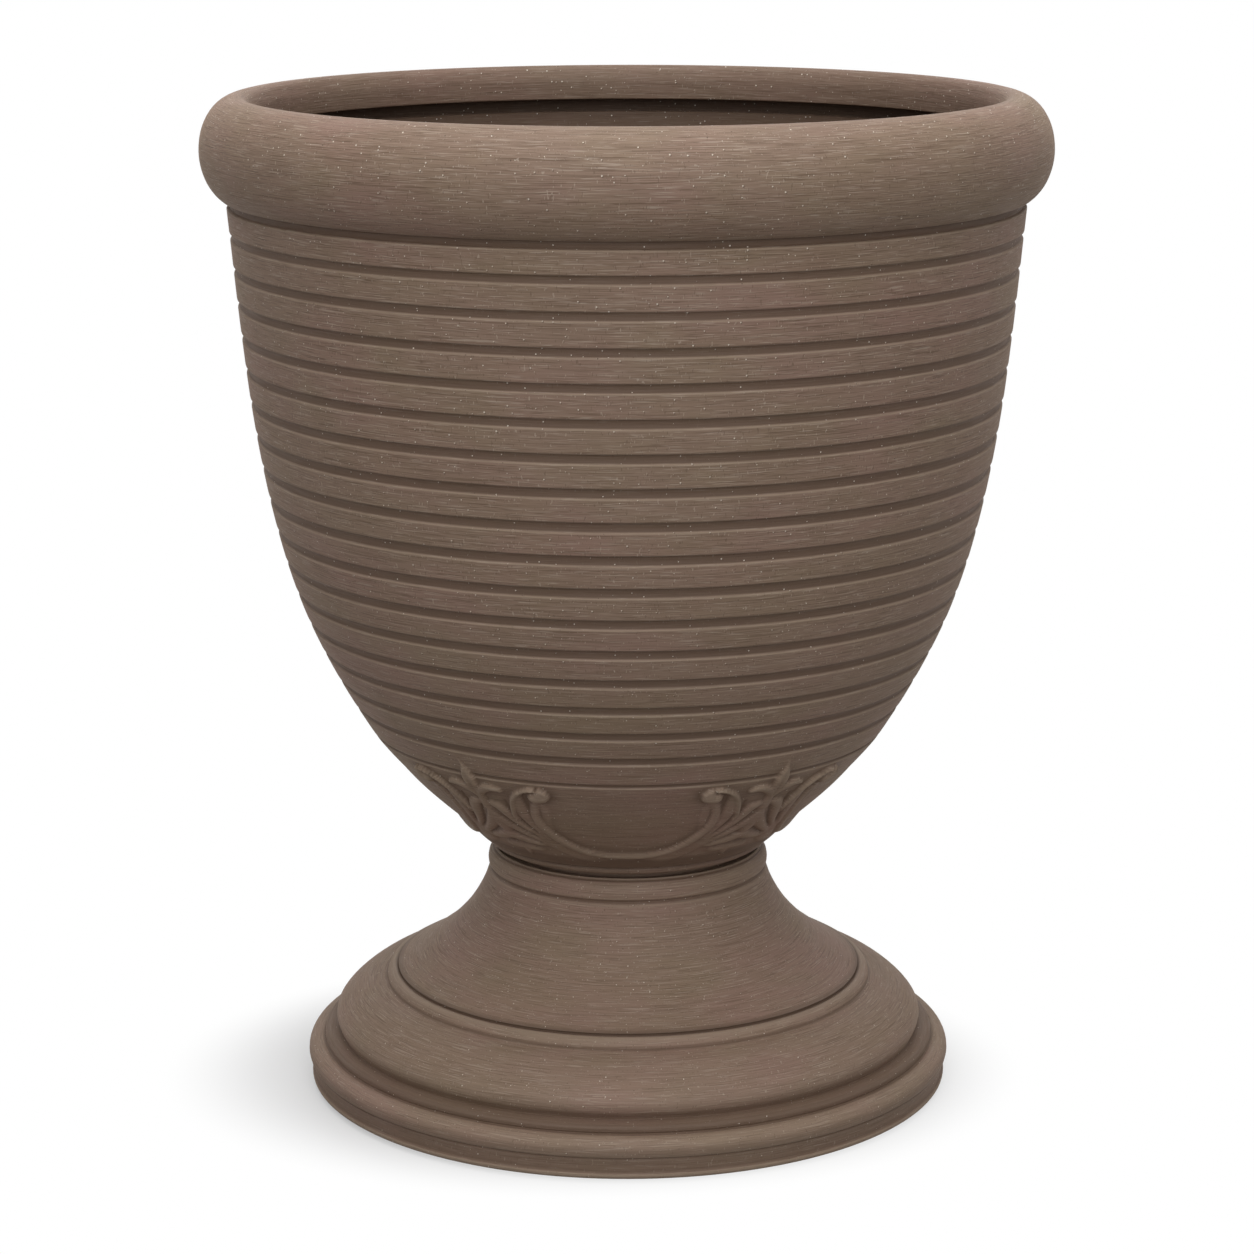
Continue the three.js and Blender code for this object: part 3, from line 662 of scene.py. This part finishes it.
def hexagon(cone, ways):
    """Radius of a hexagon at each way round, no more than the cone that chamfers its corners."""
    return np.minimum(HEX_HALF_WIDTH / np.cos(np.radians((ways + 30) % 60 - 30)), cone)


def make_bolt(number, x, y):
    """A hexagon-head bolt, its head chamfered at the top, with a thread of 1 mm pitch rolled on the shank."""
    ways = even_ways(SMALL_RING)
    bolt = Turned()
    bolt.follow(ways, [(2.2, 104.8), (2.7, 105.3)])
    for height in np.arange(105.6, 117.0, 0.25):
        crest = abs(((height - ways / 360) % 1) * 2 - 1)
        bolt.ring(ways, THREAD_ROOT + THREAD_DEPTH * crest, height)
    bolt.follow(ways, [(2.98, 117.2), (3.0, 117.4), (3.0, 128.9), (5.2, 129.1)])
    # The head's top chamfer carries the edge mark: painted highlight and wear.
    for cone, height in [(6.1, 129.1), (6.4, 129.4), (6.4, 132.1), (6.0, 132.6), (5.2, 133.1)]:
        bolt.ring(ways, hexagon(cone, ways), height, edge=float(height > 132))
    bolt.follow(ways, [(4.7, 133.1), (4.5, 132.9)])
    bolt.close_ends()
    bolt.move(x, y)
    return bolt.made("hex_bolt_%d" % number)


def make_nut(number, x, y):
    """A hexagon nut, chamfered at both faces."""
    ways = even_ways(SMALL_RING)
    nut = Turned()
    nut.follow(ways, [(3.05, 108.4), (3.5, 107.85)])
    # Both chamfers carry the edge mark: painted highlight and wear.
    for cone, height in [(5.2, 107.8), (6.0, 108.3), (6.4, 108.8), (6.4, 111.8), (6.0, 112.3), (5.2, 112.8)]:
        nut.ring(ways, hexagon(cone, ways), height, edge=float(abs(height - 110.3) > 1.6))
    nut.follow(ways, [(3.5, 112.75), (3.05, 112.2)])
    nut.join_ends()
    nut.move(x, y)
    return nut.made("hex_nut_%d" % number)


def make_washer(number, x, y):
    washer = Turned()
    section = [(3.3, 127.2, 0.2), (8, 127.2, 0.5), (8, 128.8, 0.5), (3.3, 128.8, 0.2)]
    washer.follow(even_ways(WASHER_RING), eased(section))
    washer.join_ends()
    washer.move(x, y)
    return washer.made("rubber_washer_%d" % number)


def make_plug():
    """A moulded rubber plug: a ribbed stem in the drain hole, a flange under it and a grip to pull."""
    grip = [
        (1.5, 109.6), (4.2, 109.6, 0.8), (5, 111.2, 1), (4.6, 113.2, 0.8), (3.5, 114.4, 1), (3.6, 116.8, 0.8),
    ]
    flange = [(12.6, 117.6, 0.6), (14, 118.4, 0.6), (14, 120.6, 0.4), (8.5, 120.6, 0.3)]
    stem = []
    for height in (121.8, 123.6, 125.4):
        stem += [(8.3, height - 0.8, 0.3), (8.7, height, 0.5), (8.3, height + 0.8, 0.3)]
    line = eased(grip + flange + stem + [(8.4, 127.2, 0.4), (7.7, 128.9, 0.8), (1.5, 128.9)])
    plug = Turned()
    ways = even_ways(SMALL_RING)
    # Painted shade in the plug's hollows, and painted highlight and wear on its ridges.
    for (radius, height), low, high in zip(line, *hollows_and_ridges(line)):
        plug.ring(ways, radius, height, low, high)
    plug.close_ends()
    return plug.made("rubber_drain_plug")


def make_screen():
    """A moulded disc with rings of round holes, its rim eased."""
    screen = Turned()
    rim = [(88, SCREEN_UNDER), (90.9, SCREEN_UNDER, 0.5), (91.05, SCREEN_TOP, 0.6), (88, SCREEN_TOP)]
    screen.follow(even_ways(LARGE_RING), eased(rim))
    holes = [round_hole(SCREEN_HOLE, 0, 0, 32)]
    for ring, count in SCREEN_HOLES:
        holes += [round_hole(SCREEN_HOLE, x, y, 32) for x, y in round_hole(ring, 0, 0, count)]
    floor_with_holes(screen, SCREEN_UNDER, SCREEN_TOP, holes)
    return screen.made("drain_disc")


bolts = [make_bolt(i + 1, x, y) for i, (x, y) in enumerate(BOLT_PLACES)]
nuts = [make_nut(i + 1, x, y) for i, (x, y) in enumerate(BOLT_PLACES)]
washers = [make_washer(i + 1, x, y) for i, (x, y) in enumerate(BOLT_PLACES)]
plug = make_plug()
screen = make_screen()


# ------------------------------------------------------------------ materials


def colour(hex_text):
    """An sRGB hex colour as linear RGBA."""
    parts = [int(hex_text[i : i + 2], 16) / 255 for i in (1, 3, 5)]
    return tuple(c / 12.92 if c <= 0.04045 else ((c + 0.055) / 1.055) ** 2.4 for c in parts) + (1.0,)


def add(tree, kind, inputs=None, **settings):
    """One node with its settings, and its inputs set to a value or linked to another node's output."""
    made = tree.nodes.new(kind)
    for name, value in settings.items():
        setattr(made, name, value)
    for name, value in (inputs or {}).items():
        if isinstance(value, bpy.types.NodeSocket):
            tree.links.new(value, made.inputs[name])
        else:
            made.inputs[name].default_value = value
    return made


def new_material(name):
    material = bpy.data.materials.new(name)
    material.use_nodes = True
    material.node_tree.nodes.clear()
    return material, material.node_tree


def grain(tree, place, size, detail, low, high):
    """Noise drawn out to marks of size mm along each way of place: 0 where it is at low, 1 at high."""
    scale = tuple(1 / (s * MM) for s in size)
    stretched = add(tree, "ShaderNodeVectorMath", {0: place, 1: scale}, operation="MULTIPLY").outputs[0]
    settings = {"Vector": stretched, "Scale": 1.0, "Detail": detail, "Roughness": 0.6}
    noise = add(tree, "ShaderNodeTexNoise", settings).outputs[0]
    return add(tree, "ShaderNodeMapRange", {"Value": noise, "From Min": low, "From Max": high}).outputs[0]


def specks(tree, spot, lean, cell, largest, fewer):
    """Round grains scattered one to a cell of so many mm, up to the largest radius in mm times fewer."""
    leaned = add(tree, "ShaderNodeVectorMath", {0: spot, 1: lean}, operation="ADD").outputs[0]
    cells = add(tree, "ShaderNodeTexVoronoi", {"Vector": leaned, "Scale": 1 / (cell * MM)})
    chance = add(tree, "ShaderNodeSeparateColor", {0: cells.outputs["Color"]}).outputs[0]
    sizes = {"Value": chance, "From Min": 0.25, "From Max": 1.0, "To Max": largest / cell}
    reach = add(tree, "ShaderNodeMapRange", sizes).outputs[0]
    reach = add(tree, "ShaderNodeMath", {0: reach, 1: fewer}, operation="MULTIPLY").outputs[0]
    within = {0: cells.outputs["Distance"], 1: reach}
    return add(tree, "ShaderNodeMath", within, operation="LESS_THAN").outputs[0]


def laid_over(tree, ground, layers):
    """A colour with others laid over it, each as far as its pattern and its strength say."""
    for hex_text, pattern, strength in layers:
        share = add(tree, "ShaderNodeMath", {0: pattern, 1: strength}, operation="MULTIPLY").outputs[0]
        mixed = add(tree, "ShaderNodeMix", {0: share, 6: ground, 7: colour(hex_text)}, data_type="RGBA")
        ground = mixed.outputs[2]
    return ground


def shade_and_highlight_marks(tree):
    """A piece's own marks: distance along its outline in mm, how much painted shade it gets in a hollow, and
    how much painted highlight and wear on an edge.
    """
    marks = ("run", "recess", "edge")
    return [add(tree, "ShaderNodeAttribute", attribute_name=mark).outputs["Fac"] for mark in marks]


def surfaced(material, tree, body, roughness, relief, more):
    """The material with its colour and more settings, with its roughness between two values over a pattern,
    and with a pattern as fine relief, given its strength and its depth in mm."""
    pattern, smooth, dull = roughness
    height, strength, depth = relief
    rough = add(tree, "ShaderNodeMapRange", {"Value": pattern, "To Min": smooth, "To Max": dull})
    bump = add(tree, "ShaderNodeBump", {"Height": height, "Strength": strength, "Distance": depth * MM})
    look = {"Base Color": body, "Roughness": rough.outputs[0], "Normal": bump.outputs[0], **more}
    shader = add(tree, "ShaderNodeBsdfPrincipled", look)
    add(tree, "ShaderNodeOutputMaterial", {"Surface": shader.outputs[0]})
    return material


def brushed_resin():
    """Moulded polyethylene with a brushed, weathered-stone coat: matte, so it shows no lamp, with fine level
    streaks, pale specks each with a painted shadow, painted shade in the hollows and painted highlight and
    wear on the edges."""
    material, tree = new_material("brushed_weathered_resin")
    run, recess, edge = shade_and_highlight_marks(tree)
    spot = add(tree, "ShaderNodeTexCoord").outputs["Object"]
    place = add(tree, "ShaderNodeSeparateXYZ", {0: spot})
    # The coat is brushed round and round, so its streaks are laid by their distance along the outline.
    up = add(tree, "ShaderNodeMath", {0: run, 1: MM}, operation="MULTIPLY").outputs[0]
    laid = add(tree, "ShaderNodeCombineXYZ", {0: place.outputs[0], 1: place.outputs[1], 2: up}).outputs[0]
    fine_brush = grain(tree, laid, (26, 26, 0.5), 2.0, 0.32, 0.68)
    # The marks are stronger towards the rim.
    rising = {"Value": place.outputs[2], "From Min": 0.12, "From Max": 0.45}
    fewer, faint, bold = (
        add(tree, "ShaderNodeMapRange", {**rising, "To Min": least, "To Max": most}).outputs[0]
        for least, most in ((0.68, 0.92), (0.28, 0.40), (0.44, 0.62))
    )
    body = laid_over(tree, colour("#8a7362"), [
        # soft streaks and broad tints
        ("#775f4e", grain(tree, laid, (26, 26, 0.5), 2.0, 0.52, 0.34), faint),
        ("#a08977", grain(tree, laid, (26, 26, 0.5), 2.0, 0.52, 0.70), faint),
        ("#85745a", grain(tree, laid, (60, 60, 30), 3.0, 0.42, 0.68), 0.4),
        ("#97746b", grain(tree, laid, (80, 80, 50), 2.0, 0.45, 0.68), 0.4),
        ("#6e5949", grain(tree, laid, (40, 40, 2.4), 3.0, 0.55, 0.75), 0.3),
        # fine brush lines, dark and pale, about 0.4 mm wide
        ("#5c4635", grain(tree, laid, (16, 16, 0.40), 1.5, 0.60, 0.655), bold),
        ("#58422f", grain(tree, laid, (36, 36, 0.36), 1.0, 0.60, 0.65), bold),
        ("#b3a292", grain(tree, laid, (14, 14, 0.40), 1.5, 0.40, 0.345), bold),
        # short nicks across the brush lines
        ("#5f4a39", grain(tree, laid, (0.8, 0.8, 3.2), 1.0, 0.68, 0.72), 0.5),
        ("#b5a595", grain(tree, laid, (1.0, 1.0, 2.6), 1.0, 0.31, 0.27), 0.55),
        # painted shade in the hollows, and painted highlight and wear on the edges
        ("#5a4536", recess, 0.92),
        ("#a6937f", edge, 0.5),
        # grit in the coat: a pale speck with a painted shadow just below it
        ("#4f3d30", specks(tree, spot, (-0.0004, 0.0, 0.0005), 2.6, 0.42, fewer), 0.7),
        ("#e6dccd", specks(tree, spot, (0.0, 0.0, 0.0), 2.6, 0.42, fewer), 0.9),
    ])
    sheen = {"Sheen Weight": 0.14, "Sheen Roughness": 0.4, "Sheen Tint": colour("#d9b394")}
    return surfaced(material, tree, body, (fine_brush, 0.64, 0.8), (fine_brush, 0.3, 0.25), sheen)


def moulded_rubber():
    """Moulded EPDM rubber: near-black and matt, with a grey bloom in soft patches and a fine grain off the
    mould."""
    material, tree = new_material("moulded_epdm_rubber")
    _, recess, edge = shade_and_highlight_marks(tree)
    spot = add(tree, "ShaderNodeTexCoord").outputs["Object"]
    bloom = grain(tree, spot, (6, 6, 6), 3.0, 0.42, 0.66)
    skin = grain(tree, spot, (0.35, 0.35, 0.35), 2.0, 0.3, 0.7)
    body = laid_over(tree, colour("#24221e"), [
        # painted shade in the hollows, and painted highlight and wear on the edges
        ("#2e2c28", skin, 0.6), ("#4a4741", bloom, 0.45), ("#171613", recess, 0.7), ("#58554e", edge, 0.4),
    ])
    return surfaced(material, tree, body, (bloom, 0.52, 0.74), (skin, 0.35, 0.1), {"IOR": 1.52})


def plated_steel():
    """Cold-headed steel, zinc plated: bright silver grey with a faint warm passivate, fine rolling lines and
    dulled flats."""
    material, tree = new_material("zinc_plated_steel")
    _, recess, edge = shade_and_highlight_marks(tree)
    spot = add(tree, "ShaderNodeTexCoord").outputs["Object"]
    lines = grain(tree, spot, (2.5, 2.5, 0.14), 2.0, 0.3, 0.7)
    dull = grain(tree, spot, (2.2, 2.2, 2.2), 3.0, 0.38, 0.66)
    body = laid_over(tree, colour("#b4b7b8"), [
        # painted shade in the hollows, and painted highlight and wear on the edges
        ("#c9cbca", lines, 0.6), ("#a8a592", dull, 0.45), ("#70716f", recess, 0.6), ("#d8d9d8", edge, 0.5),
    ])
    return surfaced(material, tree, body, (dull, 0.26, 0.46), (lines, 0.2, 0.06), {"Metallic": 1.0})


def moulded_polypropylene():
    """Injection-moulded polypropylene: dark brown-black with a soft gloss, a spark-eroded skin, flow marks,
    painted shade in its hollows, and paler edges of painted highlight and wear."""
    material, tree = new_material("moulded_polypropylene")
    _, recess, edge = shade_and_highlight_marks(tree)
    spot = add(tree, "ShaderNodeTexCoord").outputs["Object"]
    skin = grain(tree, spot, (0.5, 0.5, 0.5), 2.0, 0.3, 0.7)
    flow = grain(tree, spot, (26, 9, 9), 3.0, 0.4, 0.66)
    body = laid_over(tree, colour("#2d2a26"), [
        # painted shade in the hollows, and painted highlight and wear on the edges
        ("#3a3631", skin, 0.5), ("#423d37", flow, 0.45), ("#1c1a17", recess, 0.6), ("#5d5750", edge, 0.4),
    ])
    return surfaced(material, tree, body, (flow, 0.42, 0.58), (skin, 0.4, 0.12), {"IOR": 1.49})


resin = brushed_resin()
rubber = moulded_rubber()
steel = plated_steel()
polypropylene = moulded_polypropylene()

for shape, finish in [(bowl, resin), (foot, resin), (plug, rubber), (screen, polypropylene)]:
    shape.data.materials.append(finish)
for shape in bolts + nuts:
    shape.data.materials.append(steel)
for shape in washers:
    shape.data.materials.append(rubber)


# ------------------------------------------------------------------ onto the frame

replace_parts(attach(bowl, "planter"), "bowl")
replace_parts(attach(foot, "planter"), "pedestal")
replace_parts(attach(plug, "drain_plug"), "drain_plug")
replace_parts(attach(screen, "drain_screen"), "drain_screen")
for i in range(4):
    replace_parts(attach(bolts[i], "planter"), "bolt_%d" % (i + 1))
    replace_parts(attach(nuts[i], "planter"), "nut_%d" % (i + 1))
    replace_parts(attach(washers[i], "planter"), "sealing_washer_%d" % (i + 1))


# ------------------------------------------------------------------ floor, light and camera

# The camera was fitted to the photo, whose sides are this many pixels.
PHOTO_SIDE_PX, FOCAL_LENGTH_PX = 1254, 3562.16
SENSOR_WIDTH = 36.0
CAMERA_PLACE = (-0.0002, -1.7095, 0.6226)
CAMERA_DOWN, CAMERA_ROLL = 12.986, -0.085  # degrees


def white_to_the_eye(tree, seen):
    """1 for the camera, and for what a reflection or a clear piece shows of the studio; 0 for soft light."""
    either = {0: seen.outputs["Is Camera Ray"], 1: seen.outputs["Is Glossy Ray"]}
    glossy = add(tree, "ShaderNodeMath", either, operation="MAXIMUM").outputs[0]
    either = {0: glossy, 1: seen.outputs["Is Transmission Ray"]}
    return add(tree, "ShaderNodeMath", either, operation="MAXIMUM").outputs[0]


def make_floor():
    """A pale studio floor that reads white away from the planter and keeps its soft shadow."""
    material, tree = new_material("white_studio_floor")
    seen = add(tree, "ShaderNodeLightPath")
    # It throws back less light than it shows the camera, so that the foot isn't lit from below.
    greys = {0: seen.outputs["Is Camera Ray"], 6: (0.12, 0.12, 0.12, 1), 7: (0.86, 0.86, 0.86, 1)}
    floor_colour = add(tree, "ShaderNodeMix", greys, data_type="RGBA").outputs[2]
    lit = add(tree, "ShaderNodeBsdfDiffuse", {"Color": floor_colour}).outputs[0]
    white = add(tree, "ShaderNodeEmission", {"Color": (1, 1, 1, 1), "Strength": 1.0}).outputs[0]
    # The shadow fades to white round the foot, a little further out to the left.
    spot = add(tree, "ShaderNodeTexCoord").outputs["Object"]
    shift = {0: spot, 1: (1, 1.22, 1), 2: (0.018, 0.0, 0.0)}
    leaning = add(tree, "ShaderNodeVectorMath", shift, operation="MULTIPLY_ADD").outputs[0]
    far = add(tree, "ShaderNodeVectorMath", {0: leaning}, operation="LENGTH").outputs["Value"]
    edge = {"Value": far, "From Min": 0.142, "From Max": 0.22, "To Min": 0.4, "To Max": 1.0}
    fade = add(tree, "ShaderNodeMapRange", edge, interpolation_type="SMOOTHSTEP").outputs[0]
    share = add(tree, "ShaderNodeMath", {0: white_to_the_eye(tree, seen), 1: fade}, operation="MULTIPLY")
    shader = add(tree, "ShaderNodeMixShader", {0: share.outputs[0], 1: lit, 2: white})
    add(tree, "ShaderNodeOutputMaterial", {"Surface": shader.outputs[0]})

    mesh = bpy.data.meshes.new("studio_floor")
    reach, drop = 8.0, -0.0002
    corners = [(-reach, -reach, drop), (reach, -reach, drop), (reach, reach, drop), (-reach, reach, drop)]
    mesh.from_pydata(corners, [], [(0, 1, 2, 3)])
    mesh.materials.append(material)
    floor = bpy.data.objects.new("studio_floor", mesh)
    bpy.context.scene.collection.objects.link(floor)


def make_sky():
    """Even white studio air that the camera sees as plain white."""
    world = bpy.data.worlds.new("studio_air")
    bpy.context.scene.world = world
    world.use_nodes = True
    tree = world.node_tree
    tree.nodes.clear()
    seen = add(tree, "ShaderNodeLightPath")
    air = add(tree, "ShaderNodeBackground", {"Color": (1, 1, 1, 1), "Strength": 0.3}).outputs[0]
    white = add(tree, "ShaderNodeBackground", {"Color": (1, 1, 1, 1), "Strength": 1.0}).outputs[0]
    mixed = add(tree, "ShaderNodeMixShader", {0: white_to_the_eye(tree, seen), 1: air, 2: white})
    add(tree, "ShaderNodeOutputWorld", {"Surface": mixed.outputs[0]})


def make_lamp(name, place, aim, side, power):
    """A square softbox turned to its aim, with its side in metres and its power in watts."""
    lamp = bpy.data.lights.new(name, "AREA")
    lamp.shape, lamp.size, lamp.energy = "SQUARE", side, power
    made = bpy.data.objects.new(name, lamp)
    made.location = place
    made.rotation_euler = (Vector(aim) - Vector(place)).to_track_quat("-Z", "Y").to_euler()
    bpy.context.scene.collection.objects.link(made)


def make_camera():
    view = bpy.data.cameras.new("photo_view")
    view.sensor_width, view.lens = SENSOR_WIDTH, SENSOR_WIDTH * FOCAL_LENGTH_PX / PHOTO_SIDE_PX
    view.clip_start, view.clip_end = 0.05, 60
    made = bpy.data.objects.new("photo_view", view)
    made.matrix_world = (
        Matrix.Translation(CAMERA_PLACE)
        @ Matrix.Rotation(math.pi / 2 - math.radians(CAMERA_DOWN), 4, "X")
        @ Matrix.Rotation(math.radians(CAMERA_ROLL), 4, "Z")
    )
    bpy.context.scene.collection.objects.link(made)
    bpy.context.scene.camera = made


make_floor()
make_sky()
make_lamp("top_softbox", (0, -0.1, 2.2), (0, 0, 0.3), 0.9, 15.5)
make_lamp("front_top_softbox", (0, -1.5, 2.0), (0, 0, 0.25), 1.6, 15)
make_lamp("back_softbox", (0, 2.4, 1.5), (0, 0, 0.3), 1.6, 9)
make_lamp("front_softbox", (0, -2.6, 1.1), (0, 0, 0.25), 1.6, 19.5)
make_camera()
bpy.context.scene.view_settings.view_transform = "Standard"
